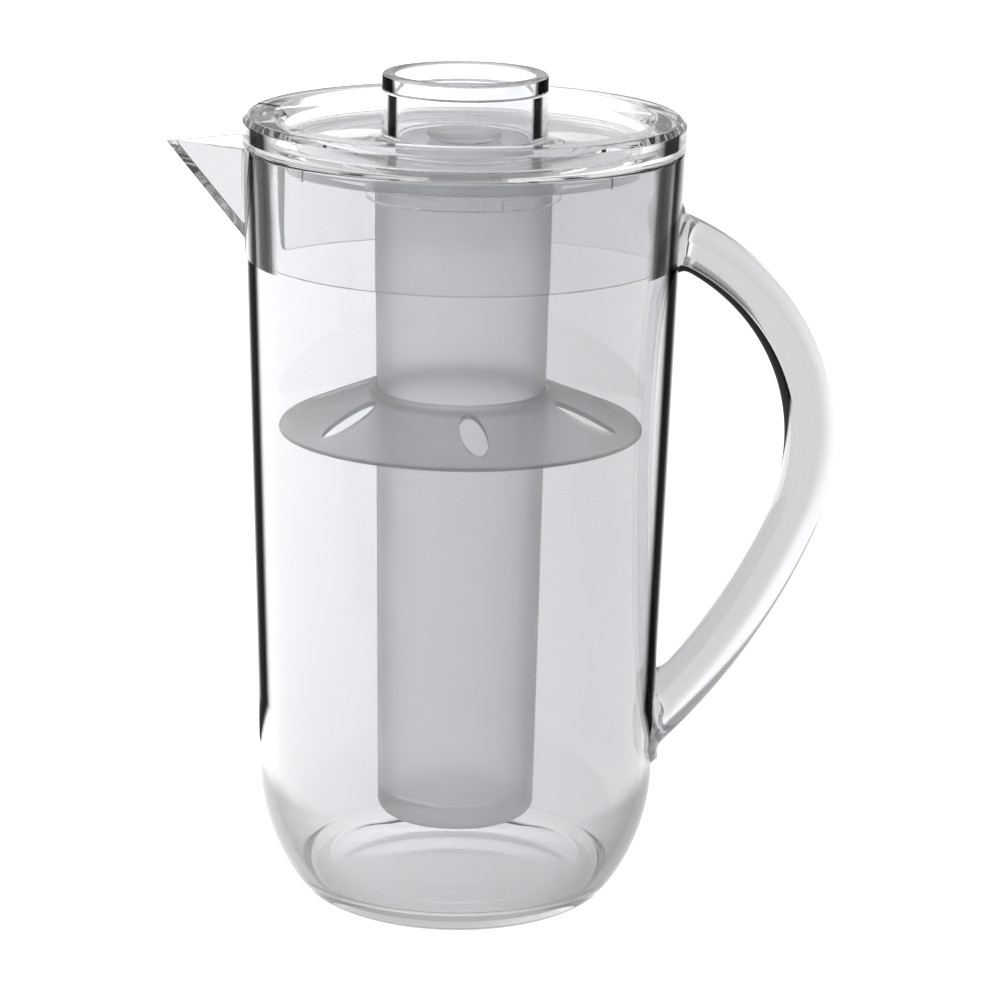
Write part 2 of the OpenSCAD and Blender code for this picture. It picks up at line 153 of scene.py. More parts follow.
# Tube and its seal
TUBE_R = 28.25
TUBE_DRAFT = 0.0111
TUBE_WALL = 1.9
TUBE_FLOOR = 7.0
TUBE_GAP = 17.5
TUBE_ROUND = 3.0
TUBE_RINGS = (60, 100, 140, 180, 220)    # heights of rings in the tube's mesh
LUGS = 3
LUG_OUT = 1.4
LUG_W = 6.0
LUG_H = 3.0
LUG_DROP = 4.5
LUG_TURN = 7.0
SEAL_T = 1.7
SEAL_ROUND = 0.35

# Plug
STEM_R = 8.9
STEM_OUT = 1.1
PLUG_LAP = 3.0
HEAD_T = 2.2
HEAD_EDGE = 0.5

# Baffle: a cone with a hub round the tube and slanted oval holes
BAFFLE_GAP = 5.5
BAFFLE_DROP = 90.8
BAFFLE_RISE = 11.9
BAFFLE_T = 1.6
HUB_W = 1.6
HUB_H = 4.0
HOLES = 6
HOLE_LEN = 20.5
HOLE_W = 8.2
HOLE_SHIFT = 1.2
HOLE_SLANT = 6.5
HOLE_TURN = 35.5
HOLE_POINTS = 48


def out_r(z):
    """Radius of the vessel's outside at a height."""
    return RIM_R - DRAFT * (RIM_Z - z)


def bore_r(z):
    """Radius of the vessel's bore at a height."""
    return out_r(z) - WALL


def tube_out(z):
    """Radius of the tube's outside at a height."""
    return TUBE_R - TUBE_DRAFT * (RIM_Z - z)


# Heights and radii that follow from the sizes
DELTA = math.degrees(math.atan(DRAFT))
SHOULDER_C = (
    out_r(SHOULDER_Z) - SHOULDER_R * math.cos(math.radians(DELTA)),
    SHOULDER_Z + SHOULDER_R * math.sin(math.radians(DELTA)),
)
LIP_X = RIM_R + LIP_REACH
LIP_LEAN = math.atan((LIP_X - out_r(RIM_Z - LIP_DROP)) / LIP_DROP)
LIP_OPEN = math.atan(LIP_HALF_W / ((LIP_X - math.sqrt(RIM_R**2 - LIP_HALF_W**2)) * math.cos(LIP_LEAN)))
LIP_SHIFT = LIP_WALL / math.sin(LIP_OPEN)
LID_Z = RIM_Z + SEAT_GAP
LID_TOP = LID_Z + LID_H
RING_R = LID_R - RING_W
DISH_R = RING_R - BEVEL
DISH_Z = LID_TOP - SINK
UNDER_Z = DISH_Z - LID_FLOOR_T
COLLAR_TOP = LID_TOP + COLLAR_H
COLLAR_IN = COLLAR_R - COLLAR_WALL
MOUTH_R = COLLAR_IN + MOUTH_STEP
WELL_Z = DISH_Z + WELL_RISE
WELL_UNDER = WELL_Z - WELL_T
SKIRT_LOW = RIM_Z - SKIRT_H
SKIRT_R = bore_r(RIM_Z) - SKIRT_GAP
SKIRT_LOW_R = bore_r(SKIRT_LOW) - SKIRT_GAP
SKIRT_IN = SKIRT_R - SKIRT_T
SKIRT_IN_LOW = SKIRT_LOW_R - SKIRT_TIP
DRIP_R = SKIRT_IN - DRIP_INSET
TUBE_TOP = UNDER_Z - SEAL_T - SEAT_GAP
TUBE_LOW = FLOOR_T + TUBE_GAP
TUBE_IN_LOW = TUBE_LOW + TUBE_FLOOR
LUG_Z = TUBE_TOP - LUG_DROP - LUG_H / 2
LUG_R = tube_out(LUG_Z) + LUG_OUT
SOCKET_R = tube_out(TUBE_TOP) + SOCKET_GAP
GROOVE_R = LUG_R + SOCKET_GAP
SOCKET_LOW = UNDER_Z - SOCKET_H
BAFFLE_Z = RIM_Z - BAFFLE_DROP
BAFFLE_R = bore_r(BAFFLE_Z) - BAFFLE_GAP
HUB_Z = BAFFLE_Z + BAFFLE_RISE
HUB_R = tube_out(HUB_Z) + HUB_GAP + HUB_W

# Heights of rings in the meshes where one finish ends and the next begins
EDGE_END = SHOULDER_Z + 10
SIDE_LOW = LID_Z + 2.6
COLLAR_LOW = DISH_Z + 2.7
COLLAR_HIGH = COLLAR_TOP - MOUTH_H - 0.5
MOUTH_LOW = COLLAR_TOP - MOUTH_H + 0.4


def arc(c, r, a0, a1, steps=12):
    """Points along an arc, angles in degrees."""
    angles = [math.radians(a0 + (a1 - a0) * i / steps) for i in range(steps + 1)]
    return [(c[0] + r * math.cos(a), c[1] + r * math.sin(a)) for a in angles]


# Mesh making
def finish_mesh(name, bm):
    """Welds, smooths and marks the sharp edges of a mesh in millimetres, and makes it an object in metres."""
    bmesh.ops.remove_doubles(bm, verts=bm.verts, dist=WELD)
    bmesh.ops.recalc_face_normals(bm, faces=bm.faces)
    bmesh.ops.scale(bm, vec=(MM, MM, MM), verts=bm.verts)
    for f in bm.faces:
        f.smooth = True
    for e in bm.edges:
        e.smooth = len(e.link_faces) != 2 or e.calc_face_angle(0) < SMOOTH_ANGLE
    return new_object(name, bm)


def new_object(name, bm):
    """Object in the scene that holds a mesh as it is."""
    mesh = bpy.data.meshes.new(name)
    bm.to_mesh(mesh)
    bm.free()
    obj = bpy.data.objects.new(name, mesh)
    bpy.context.scene.collection.objects.link(obj)
    return obj


def lathe_bm(points, turns=TURNS):
    """Closed solid turned from a profile of (radius, height) points, which may start and end on the axis."""
    bm = bmesh.new()
    angles = [2 * math.pi * i / turns for i in range(turns)]
    rings = []
    for r, z in points:
        if r < ON_AXIS:
            rings.append([bm.verts.new((0, 0, z))])
        else:
            rings.append([bm.verts.new((r * math.cos(a), r * math.sin(a), z)) for a in angles])
    for a, b in zip(rings, rings[1:] + rings[:1]):
        if len(a) == 1 and len(b) == 1:
            continue
        for i in range(turns):
            j = (i + 1) % turns
            if len(a) == 1:
                bm.faces.new((a[0], b[i], b[j]))
            elif len(b) == 1:
                bm.faces.new((a[i], a[j], b[0]))
            else:
                bm.faces.new((a[i], a[j], b[j], b[i]))
    return bm


def prism_bm(outline, low, high, matrix=Matrix.Identity(4)):
    """Solid between two heights over an outline of (x, y) points, moved by a matrix."""
    bm = bmesh.new()
    a = [bm.verts.new((x, y, low)) for x, y in outline]
    b = [bm.verts.new((x, y, high)) for x, y in outline]
    bm.faces.new(a)
    bm.faces.new(b)
    for i in range(len(a)):
        j = (i + 1) % len(a)
        bm.faces.new((a[i], a[j], b[j], b[i]))
    bmesh.ops.transform(bm, matrix=matrix, verts=bm.verts)
    return bm


# Stands a prism on its side: its outline then holds (y, z), and its heights run along x
SIDE_ON = Matrix(((0, 0, 1, 0), (1, 0, 0, 0), (0, 1, 0, 0), (0, 0, 0, 1)))


def turn_z(degrees):
    """Turn about the vessel's axis."""
    return Matrix.Rotation(math.radians(degrees), 4, "Z")


def raw(bm):
    """Temporary object that holds a mesh in millimetres, for cutting."""
    bmesh.ops.recalc_face_normals(bm, faces=bm.faces)
    return new_object("cutter", bm)


def combine(bm, steps):
    """Applies boolean steps [(operation, cutter mesh)] to a mesh, all in millimetres."""
    base = raw(bm)
    cutters = []
    for operation, cutter in steps:
        c = raw(cutter)
        cutters.append(c)
        m = base.modifiers.new("cut", "BOOLEAN")
        m.operation, m.object, m.solver = operation, c, "EXACT"
    mesh = bpy.data.meshes.new_from_object(base.evaluated_get(bpy.context.evaluated_depsgraph_get()))
    out = bmesh.new()
    out.from_mesh(mesh)
    for o in [base, *cutters]:
        data = o.data
        bpy.data.objects.remove(o)
        bpy.data.meshes.remove(data)
    bpy.data.meshes.remove(mesh)
    return out


# Vessel
def floor_fillet(radius, fillet, height):
    """Centre and join angle of a fillet between the shoulder's arc and a level floor."""
    lift = SHOULDER_C[1] - height - fillet
    x = SHOULDER_C[0] + math.sqrt((radius - fillet) ** 2 - lift**2)
    return (x, height + fillet), math.degrees(math.atan2(-lift, x - SHOULDER_C[0]))


def outside_curve(grow=0):
    """Outline of the foot and the shoulder, from the axis to where the wall begins, grown outwards."""
    foot_c, foot_a = floor_fillet(SHOULDER_R, FOOT_FILLET, 0)
    foot = arc(foot_c, FOOT_FILLET + grow, -90, foot_a, 16)
    return [(0, -grow)] + foot + arc(SHOULDER_C, SHOULDER_R + grow, foot_a, -DELTA, 40)[1:]


def vessel_profile():
    """Half section of the vessel: up the outside, over the rim, down the bore and across the floor."""
    rim = WALL / 4
    outer = outside_curve()
    outer += [(out_r(z), z) for z in sorted((EDGE_END, SKIRT_LOW, *WALL_RINGS))]
    outer += arc((RIM_R - rim, RIM_Z - rim), rim, 0, 90, 6)
    bore = bore_r(RIM_Z)
    floor_c, floor_a = floor_fillet(SHOULDER_R - WALL, FLOOR_FILLET, FLOOR_T)
    recess = floor_c[0] - RECESS_INSET
    low = FLOOR_T - RECESS_H
    inner = [(bore + CHAMFER, RIM_Z), (bore, RIM_Z - CHAMFER)]
    inner += [(bore_r(z), z) for z in reversed(WALL_RINGS)]
    inner += arc(SHOULDER_C, SHOULDER_R - WALL, -DELTA, floor_a, 40)
    inner += arc(floor_c, FLOOR_FILLET, floor_a, -90, 10)[1:]
    inner += [(recess + RECESS_H, FLOOR_T), (recess + RECESS_H - CHAMFER, FLOOR_T - EASE)]
    inner += [(recess + EASE, low + EASE), (recess - CHAMFER, low), (0, low)]
    return outer + inner


def vessel_cutter():
    """The vessel's outside grown by the bond's gap, which cuts the pieces that are bonded to it."""
    top = RIM_Z + PAST
    return lathe_bm(outside_curve(BOND_GAP) + [(out_r(top) + BOND_GAP, top), (0, top)])


def lip_wedge(shift, round_r):
    """Wedge whose rounded edge runs along the lip's crease, moved inwards by a shift."""
    spread = 90 - math.degrees(LIP_OPEN)
    tip = arc((shift + round_r / math.sin(LIP_OPEN), 0), round_r, 180 + spread, 180 - spread, 8)
    far, half = shift + RIM_R, RIM_R * math.tan(LIP_OPEN)
    move = Matrix.Translation((-LIP_X, 0, RIM_Z)) @ Matrix.Rotation(-LIP_LEAN, 4, "Y")
    return prism_bm(tip + [(far, half), (far, -half)], -2 * LIP_DROP, 2 * LIP_DROP, move)


def lip_block(top):
    """Block on the lip's side of the vessel, from the foot up to a height."""
    far, near = -2 * RIM_R, -RIM_R / 2
    return prism_bm([(far, -RIM_R), (near, -RIM_R), (near, RIM_R), (far, RIM_R)], 0, top)


def make_body():
    notch = combine(lip_wedge(LIP_SHIFT, CREASE_IN), [("INTERSECT", lip_block(RIM_Z + PAST))])
    return finish_mesh("vessel_clear", combine(lathe_bm(vessel_profile()), [("DIFFERENCE", notch)]))


def make_lip():
    low = RIM_Z - LIP_DROP - PAD_MARGIN
    half = LIP_HALF_W + PAD_MARGIN
    taper = [(0, low - PAST), (out_r(low) + PAD_TIP, low - PAST), (RIM_R + PAD_T, RIM_Z), (0, RIM_Z)]
    front = [(half, RIM_Z), (-half, RIM_Z), (-PAD_MARGIN, low), (PAD_MARGIN, low)]
    pad = combine(lathe_bm(taper), [("INTERSECT", prism_bm(front, -LIP_X, 0, SIDE_ON))])
    walls = combine(lip_wedge(0, CREASE_OUT), [
        ("INTERSECT", lip_block(RIM_Z)),
        ("UNION", pad),
        ("DIFFERENCE", lip_wedge(LIP_SHIFT, CREASE_IN)),
        ("DIFFERENCE", vessel_cutter()),
    ])
    return finish_mesh("pouring_lip", walls)


# Handle
def handle_line():
    """Middle line of the bar from the lower root to the upper: [(x, z, outward x, outward z)]."""
    turn = math.radians(HANDLE_TURN)
    far = HANDLE_SWEEP - HANDLE_BEND
    bend_x = RIM_R + HANDLE_REACH - HANDLE_T / 2 - HANDLE_BEND
    bend_z = RIM_Z - HANDLE_DROP
    sweep_x = bend_x - far * math.cos(turn)
    sweep_z = bend_z + far * math.sin(turn)
    sweep = [-HANDLE_TURN - SWEEP_SPAN * (1 - i / SWEEP_STEPS) for i in range(SWEEP_STEPS + 1)]
    bend = [-HANDLE_TURN + BEND_SPAN * i / BEND_STEPS for i in range(1, BEND_STEPS + 1)]
    line = []
    for x, z, r, angles in ((sweep_x, sweep_z, HANDLE_SWEEP, sweep), (bend_x, bend_z, HANDLE_BEND, bend)):
        for a in angles:
            nx, nz = math.cos(math.radians(a)), math.sin(math.radians(a))
            line.append((x + r * nx, z + r * nz, nx, nz))
    return line


HANDLE_LINE = handle_line()


def handle_section():
    """Outline of the bar, (outward, sideways), rounded outside and crowned inside."""
    t, d, r = HANDLE_T / 2, HANDLE_DEPTH / 2, HANDLE_ROUND
    crown = (d**2 + HANDLE_CROWN**2) / (2 * HANDLE_CROWN)
    spread = math.degrees(math.asin(d / crown)) - CROWN_STOP
    corner = HANDLE_CROWN - t + LAND
    return (
        arc((t - r, d - r), r, 0, 90, 12)
        + [(corner, d)]
        + arc((crown - t, 0), crown, 180 - spread, 180 + spread, 24)
        + [(corner, -d)]
        + arc((t - r, r - d), r, 270, 360, 12)
    )


def root_flare(gap):
    """How much the bar widens at a gap from the vessel's wall, along a quarter circle."""
    if gap >= ROOT_FLARE:
        return 0.0
    return ROOT_FLARE - math.sqrt(ROOT_FLARE**2 - (ROOT_FLARE - max(gap, 0.0)) ** 2)


def make_handle():
    section = handle_section()
    bm = bmesh.new()
    rings = []
    for x, z, nx, nz in HANDLE_LINE:
        ring = []
        for n, y in section:
            px, pz = x + n * nx, z + n * nz
            grow = root_flare(math.hypot(px, y) - out_r(pz))
            size = math.hypot(n, y)
            out, aside = grow * n / size, grow * y / size
            ring.append(bm.verts.new((px + out * nx, y + aside, pz + out * nz)))
        rings.append(ring)
    for a, b in zip(rings, rings[1:]):
        for i in range(len(section)):
            j = (i + 1) % len(section)
            bm.faces.new((a[i], a[j], b[j], b[i]))
    bm.faces.new(rings[0])
    bm.faces.new(rings[-1])
    return finish_mesh("loop_handle", combine(bm, [("DIFFERENCE", vessel_cutter())]))


# Lid
def lid_profile():
    """Half section of the lid: side, ring, dish, collar, well, tube socket, drip ring and skirt."""
    p = [(SKIRT_R, LID_Z), (LID_R - CHAMFER, LID_Z), (LID_R, LID_Z + CHAMFER), (LID_R, SIDE_LOW)]
    p += arc((LID_R - SIDE_ROUND, LID_TOP - LID_EDGE), SIDE_ROUND, 0, 42, 6)
    p += arc((LID_R - LID_EDGE, LID_TOP - TOP_ROUND), TOP_ROUND, 48, 90, 6)
    p += [(RING_R + r, LID_TOP + z) for r, z in BEVEL_TOP]
    p += [(DISH_R + r, LID_TOP - BEVEL + z) for r, z in BEVEL_FOOT]
    p += arc((DISH_R - FILLET, DISH_Z + FILLET), FILLET, 360, 270, 8)
    p += arc((COLLAR_R + FILLET, DISH_Z + FILLET), FILLET, 270, 180, 8)
    p += [(COLLAR_R, z) for z in (COLLAR_LOW, COLLAR_HIGH, MOUTH_LOW)]
    p += arc((COLLAR_R - FILLET, COLLAR_TOP - FILLET), FILLET, 0, 90, 10)
    p += arc((MOUTH_R + FILLET, COLLAR_TOP - FILLET), FILLET, 90, 180, 10)
    p += [(MOUTH_R, COLLAR_TOP - MOUTH_H), (COLLAR_IN, COLLAR_TOP - MOUTH_H - MOUTH_STEP)]
    p += arc((COLLAR_IN - FILLET, WELL_Z + FILLET), FILLET, 360, 270, 8)
    hole = STEM_R + PLUG_GAP
    p += [(hole, WELL_Z), (hole, WELL_UNDER)]
    p += [(COLLAR_IN - FILLET, WELL_UNDER), (COLLAR_IN - FILLET, UNDER_Z), (SOCKET_R, UNDER_Z)]
    half = LUG_H / 2 + SOCKET_GAP
    p += [(SOCKET_R, LUG_Z + half), (GROOVE_R, LUG_Z + half)]
    p += [(GROOVE_R, LUG_Z - half), (SOCKET_R, LUG_Z - half)]
    out = GROOVE_R + SOCKET_SKIN
    p += [(SOCKET_R, SOCKET_LOW + CHAMFER), (SOCKET_R + CHAMFER, SOCKET_LOW)]
    p += [(out - CHAMFER, SOCKET_LOW), (out, SOCKET_LOW + CHAMFER)]
    p += arc((out + SOCKET_FILLET, UNDER_Z - SOCKET_FILLET), SOCKET_FILLET, 180, 90, 5)
    drip_in, drip_z = DRIP_R - DRIP_T, UNDER_Z - DRIP_H
    p += [(drip_in, UNDER_Z)]
    p += arc((drip_in + DRIP_ROUND, drip_z + DRIP_ROUND), DRIP_ROUND, 180, 270, 5)
    p += arc((DRIP_R - DRIP_ROUND, drip_z + DRIP_ROUND), DRIP_ROUND, 270, 360, 5)
    p += [(DRIP_R, UNDER_Z)]
    p += arc((SKIRT_IN - SKIRT_FILLET, UNDER_Z - SKIRT_FILLET), SKIRT_FILLET, 90, 0, 6)
    p += [(SKIRT_IN_LOW, SKIRT_LOW + CHAMFER), (SKIRT_IN_LOW + CHAMFER, SKIRT_LOW)]
    p += [(SKIRT_LOW_R - CHAMFER, SKIRT_LOW), (SKIRT_LOW_R, SKIRT_LOW + CHAMFER)]
    return p


def window_bm():
    """Cutter for the skirt's pouring window, flared at its foot and narrower at its top."""
    half_w = SKIRT_R * math.sin(math.radians(WINDOW_HALF))
    foot_c = (half_w + WINDOW_ROUND, SKIRT_LOW + WINDOW_ROUND)
    top_c = (half_w - WINDOW_NARROW - WINDOW_TIP, RIM_Z - WINDOW_TOP - WINDOW_TIP)
    half = [(foot_c[0], SKIRT_LOW - PAST)]
    half += arc(foot_c, WINDOW_ROUND, 270, 180, 10)
    half += arc(top_c, WINDOW_TIP, 0, 90, 6)
    outline = half + [(-x, y) for x, y in reversed(half)]
    inner = (DRIP_R + SKIRT_IN * math.cos(math.radians(WINDOW_HALF))) / 2
    return prism_bm(outline, -LID_R, -inner, SIDE_ON)


def mark_bm():
    """Cutter for the shallow mark across the lid's ring and bevel, which shows where the window is."""
    out_w = LID_R * math.sin(math.radians(MARK_OUT))
    in_w = DISH_R * math.sin(math.radians(MARK_IN))
    x0, x1 = -LID_R - PAST, -DISH_R + PAST
    wedge = prism_bm([(x0, out_w), (x1, in_w), (x1, -in_w), (x0, -out_w)], DISH_Z, LID_TOP + PAST)
    far, near, high = LID_R + 2 * PAST, DISH_R - 2 * PAST, LID_TOP + 2 * PAST
    ring = lathe_bm([
        (far, high),
        (far, LID_TOP - MARK_H),
        (RING_R, LID_TOP - MARK_H),
        (near, LID_TOP - BEVEL - MARK_H - 2 * PAST),
        (near, high),
    ])
    return combine(ring, [("INTERSECT", wedge)])


def rib_bm(azimuth):
    """Small rib that centres the skirt in the bore."""
    side = [(-PAST, PAST), (RIB_OUT, PAST), (RIB_OUT, RIB_OUT - RIB_H), (-PAST, -RIB_H - PAST)]
    stand = Matrix(((1, 0, 0, SKIRT_R), (0, 0, -1, RIB_W / 2), (0, 1, 0, RIM_Z), (0, 0, 0, 1)))
    return prism_bm(side, 0, RIB_W, turn_z(azimuth) @ stand)


def slot_bm(azimuth):
    """Cutter for a slot that lets a lug into the socket's groove."""
    half = LUG_W / 2 + SOCKET_GAP
    far = LUG_R + SLOT_SHARE * SOCKET_GAP
    outline = [(SLOT_FROM, -half), (far, -half), (far, half), (SLOT_FROM, half)]
    return prism_bm(outline, SOCKET_LOW - PAST, LUG_Z, turn_z(azimuth))


def make_lid():
    first_slot = LUG_TURN + SLOT_TURN - LID_TURN
    steps = [("DIFFERENCE", window_bm()), ("DIFFERENCE", mark_bm())]
    steps += [("DIFFERENCE", slot_bm(first_slot + 360 * i / LUGS)) for i in range(LUGS)]
    steps += [("UNION", rib_bm(a)) for a in RIB_TURNS]
    bm = combine(lathe_bm(lid_profile()), steps)
    bmesh.ops.transform(bm, matrix=turn_z(LID_TURN), verts=bm.verts)
    return finish_mesh("lid_clear", bm)


# Frosted pieces and the seal
def lug_bm(azimuth):
    """Lug on the tube's outside, rooted in its wall."""
    root = tube_out(LUG_Z) - TUBE_WALL / 2
    angles = [math.asin(LUG_W / 2 / LUG_R) * k / 4 for k in range(-4, 5)]
    face = [(LUG_R * math.cos(a), LUG_R * math.sin(a)) for a in angles]
    outline = [(root, -LUG_W / 2)] + face + [(root, LUG_W / 2)]
    return prism_bm(outline, LUG_Z - LUG_H / 2, LUG_Z + LUG_H / 2, turn_z(azimuth))


def make_tube():
    low_r, in_low_r = tube_out(TUBE_LOW), tube_out(TUBE_IN_LOW) - TUBE_WALL
    top_r, top_in = tube_out(TUBE_TOP), tube_out(TUBE_TOP) - TUBE_WALL
    p = [(0, TUBE_LOW)]
    p += arc((low_r - TUBE_ROUND, TUBE_LOW + TUBE_ROUND), TUBE_ROUND, 270, 360, 12)
    p += [(tube_out(z), z) for z in TUBE_RINGS]
    p += [(top_r, TUBE_TOP - CHAMFER), (top_r - CHAMFER, TUBE_TOP)]
    p += [(top_in + CHAMFER, TUBE_TOP), (top_in, TUBE_TOP - CHAMFER)]
    p += [(tube_out(z) - TUBE_WALL, z) for z in reversed(TUBE_RINGS)]
    p += arc((in_low_r - TUBE_ROUND, TUBE_IN_LOW + TUBE_ROUND), TUBE_ROUND, 360, 270, 12)
    p += [(0, TUBE_IN_LOW)]
    lugs = [("UNION", lug_bm(LUG_TURN + 360 * i / LUGS)) for i in range(LUGS)]
    return finish_mesh("core_tube_frosted", combine(lathe_bm(p), lugs))


def make_plug():
    head_z, head_r = WELL_Z + SEAT_GAP, STEM_R + PLUG_LAP
    end_z, end_round = WELL_UNDER - STEM_OUT, STEM_OUT / 2
    under = HEAD_T - HEAD_EDGE
    p = [(0, end_z)]
    p += arc((STEM_R - end_round, end_z + end_round), end_round, 270, 360, 6)
    p += [(STEM_R, head_z)]
    p += arc((head_r - under, head_z + under), under, 270, 360, 12)
    p += arc((head_r - HEAD_EDGE, head_z + under), HEAD_EDGE, 0, 90, 6)
    p += [(0, head_z + HEAD_T)]
    return finish_mesh("plug_frosted", lathe_bm(p, SMALL_TURNS))


def make_seal():
    r = SEAL_ROUND
    top = UNDER_Z - BOND_GAP
    inner, outer = tube_out(TUBE_TOP) - TUBE_WALL + r, SOCKET_R - SOCKET_GAP - r
    low, high = top - SEAL_T + r, top - r
    p = arc((outer, low), r, 270, 360, 4) + arc((outer, high), r, 0, 90, 4)
    p += arc((inner, high), r, 90, 180, 4) + arc((inner, low), r, 180, 270, 4)
    return finish_mesh("seal_ring", lathe_bm(p, SMALL_TURNS))


def hole_bm(azimuth):
    """Cutter for one of the baffle's oval holes."""
    middle = (BAFFLE_R + HUB_R) / 2 - HOLE_SHIFT
    angles = [2 * math.pi * k / HOLE_POINTS for k in range(HOLE_POINTS)]
    oval = [(HOLE_LEN / 2 * math.cos(a), HOLE_W / 2 * math.sin(a)) for a in angles]
    place = turn_z(azimuth) @ Matrix.Translation((middle, 0, 0)) @ turn_z(HOLE_SLANT)
    return prism_bm(oval, BAFFLE_Z - 5 * PAST, HUB_Z + 5 * PAST, place)


def make_baffle():
    half = BAFFLE_T / 2
    slope = math.atan(BAFFLE_RISE / (BAFFLE_R - HUB_R))
    lean = math.degrees(slope)
    lift = half / math.cos(slope)
    low, high = HUB_Z - HUB_H + lift, HUB_Z + lift
    p = arc((BAFFLE_R - half, BAFFLE_Z), half, -90 - lean, 90 - lean, 10)
    p += [(HUB_R + LAND, high - EASE), (HUB_R, high)]
    p += [(tube_out(high) + HUB_GAP, high), (tube_out(low) + HUB_GAP, low)]
    p += [(tube_out(low) + HUB_GAP + HUB_W, low), (HUB_R, HUB_Z - lift)]
    holes = [("DIFFERENCE", hole_bm(HOLE_TURN + 360 * i / HOLES)) for i in range(HOLES)]
    return finish_mesh("baffle_frosted", combine(lathe_bm(p), holes))


# Materials
def material(name, **values):
    """New material with its node tree and shader; a value's name is a socket's, with _ for a space."""
    m = bpy.data.materials.new(name)
    m.use_nodes = True
    shader = m.node_tree.nodes["Principled BSDF"]
    for key, value in values.items():
        shader.inputs[key.replace("_", " ")].default_value = value
    return m, m.node_tree, shader


def places(tree):
    """Socket of a piece's own coordinates, in metres."""
    return tree.nodes.new("ShaderNodeTexCoord").outputs["Object"]


def noise(tree, scale, detail=2.0):
    """Noise over a piece's own coordinates."""
    node = tree.nodes.new("ShaderNodeTexNoise")
    node.inputs["Scale"].default_value = scale
    node.inputs["Detail"].default_value = detail
    tree.links.new(places(tree), node.inputs["Vector"])
    return node.outputs["Fac"]


def mapped(tree, source, before, after=(0, 1), kind="LINEAR"):
    """Maps a value from one range to another."""
    node = tree.nodes.new("ShaderNodeMapRange")
    node.interpolation_type = kind
    for key, value in zip(("From Min", "From Max", "To Min", "To Max"), (*before, *after)):
        node.inputs[key].default_value = value
    tree.links.new(source, node.inputs["Value"])
    return node.outputs["Result"]


def reckon(tree, operation, first, second):
    """Result of an operation on two values."""
    node = tree.nodes.new("ShaderNodeMath")
    node.operation = operation
    tree.links.new(first, node.inputs[0])
    tree.links.new(second, node.inputs[1])
    return node.outputs["Value"]


def vary(tree, source, low, high, target):
    """Feeds a noise to a socket between two values."""
    tree.links.new(mapped(tree, source, (0.3, 0.7), (low, high)), target)


def bump(tree, source, strength, distance, shader):
    """Raises a shader's surface by a noise; the distance is in metres."""
    node = tree.nodes.new("ShaderNodeBump")
    node.inputs["Strength"].default_value = strength
    node.inputs["Distance"].default_value = distance
    tree.links.new(source, node.inputs["Height"])
    tree.links.new(node.outputs["Normal"], shader.inputs["Normal"])


def ramp(tree, source, stops, target):
    """Feeds a 0 to 1 value to a socket through a ramp of [(position, grey or colour)]."""
    node = tree.nodes.new("ShaderNodeValToRGB")
    points = node.color_ramp.elements
    while len(points) < len(stops):
        points.new(0.5)
    for point, (position, tone) in zip(points, stops):
        point.position = position
        point.color = tone if isinstance(tone, tuple) else (tone, tone, tone, 1)
    tree.links.new(source, node.inputs["Fac"])
    tree.links.new(node.outputs["Color"], target)


def narrowed(tree, slant, low, high, shift):
    """Lowers a slant by a shift at one height, fading to nothing at the other, in millimetres."""
    split = tree.nodes.new("ShaderNodeSeparateXYZ")
    tree.links.new(places(tree), split.inputs["Vector"])
    less = mapped(tree, split.outputs["Z"], (low * MM, high * MM), (shift, 0))
    return reckon(tree, "SUBTRACT", slant, less)


ACRYLIC_IOR = 1.49
FROST_IOR = 1.25
POLISH_SPREAD = 0.012    # how much rougher the dullest spots of a polished face are


def acrylic(name, tint, edge=(), narrow=None, rough=0.0):
    """Clear plastic; edge is [(cosine of the slant, light let through)] for painted shade on faces seen at a
    slant.
    """
    m, tree, shader = material(
        name, Base_Color=tint, Transmission_Weight=1.0, IOR=ACRYLIC_IOR, Roughness=rough
    )
    vary(tree, noise(tree, scale=60, detail=4), rough, rough + POLISH_SPREAD, shader.inputs["Roughness"])
    bump(tree, noise(tree, scale=14), strength=0.02, distance=0.0006, shader=shader)
    if not edge:
        return m
    # Painted shade: tint, light let through and gloss fall by a ramp where a face is seen at a slant
    slant = tree.nodes.new("ShaderNodeLayerWeight").outputs["Facing"]
    if narrow:
        slant = narrowed(tree, slant, *narrow)
    stops = [(1 - cosine, light) for cosine, light in reversed(edge)]
    tones = [(place, tuple(light**2 * c for c in tint[:3]) + (1,)) for place, light in stops]
    gloss = [(place, light**4 / 2) for place, light in stops]
    ramp(tree, slant, tones, shader.inputs["Base Color"])
    ramp(tree, slant, stops, shader.inputs["Transmission Weight"])
    ramp(tree, slant, gloss, shader.inputs["Specular IOR Level"])
    return m


def frosted(name, colour, transmission, rough):
    """Milky plastic with an uneven satin face and a fine grain."""
    m, tree, shader = material(
        name, Base_Color=colour, Transmission_Weight=transmission, IOR=FROST_IOR, Roughness=rough
    )
    vary(tree, noise(tree, scale=45, detail=3), rough - 0.05, rough + 0.06, shader.inputs["Roughness"])
    bump(tree, noise(tree, scale=900, detail=3), strength=0.05, distance=0.0002, shader=shader)
    return m


# Tints of the clear plastic, one for each group of pieces and bands
CLEAR = (0.70, 0.705, 0.716, 1)
BRIGHT = (0.93, 0.935, 0.945, 1)
DISH = (0.74, 0.745, 0.755, 1)
THICK = (0.52, 0.527, 0.54, 1)
LIP = (0.67, 0.675, 0.685, 1)
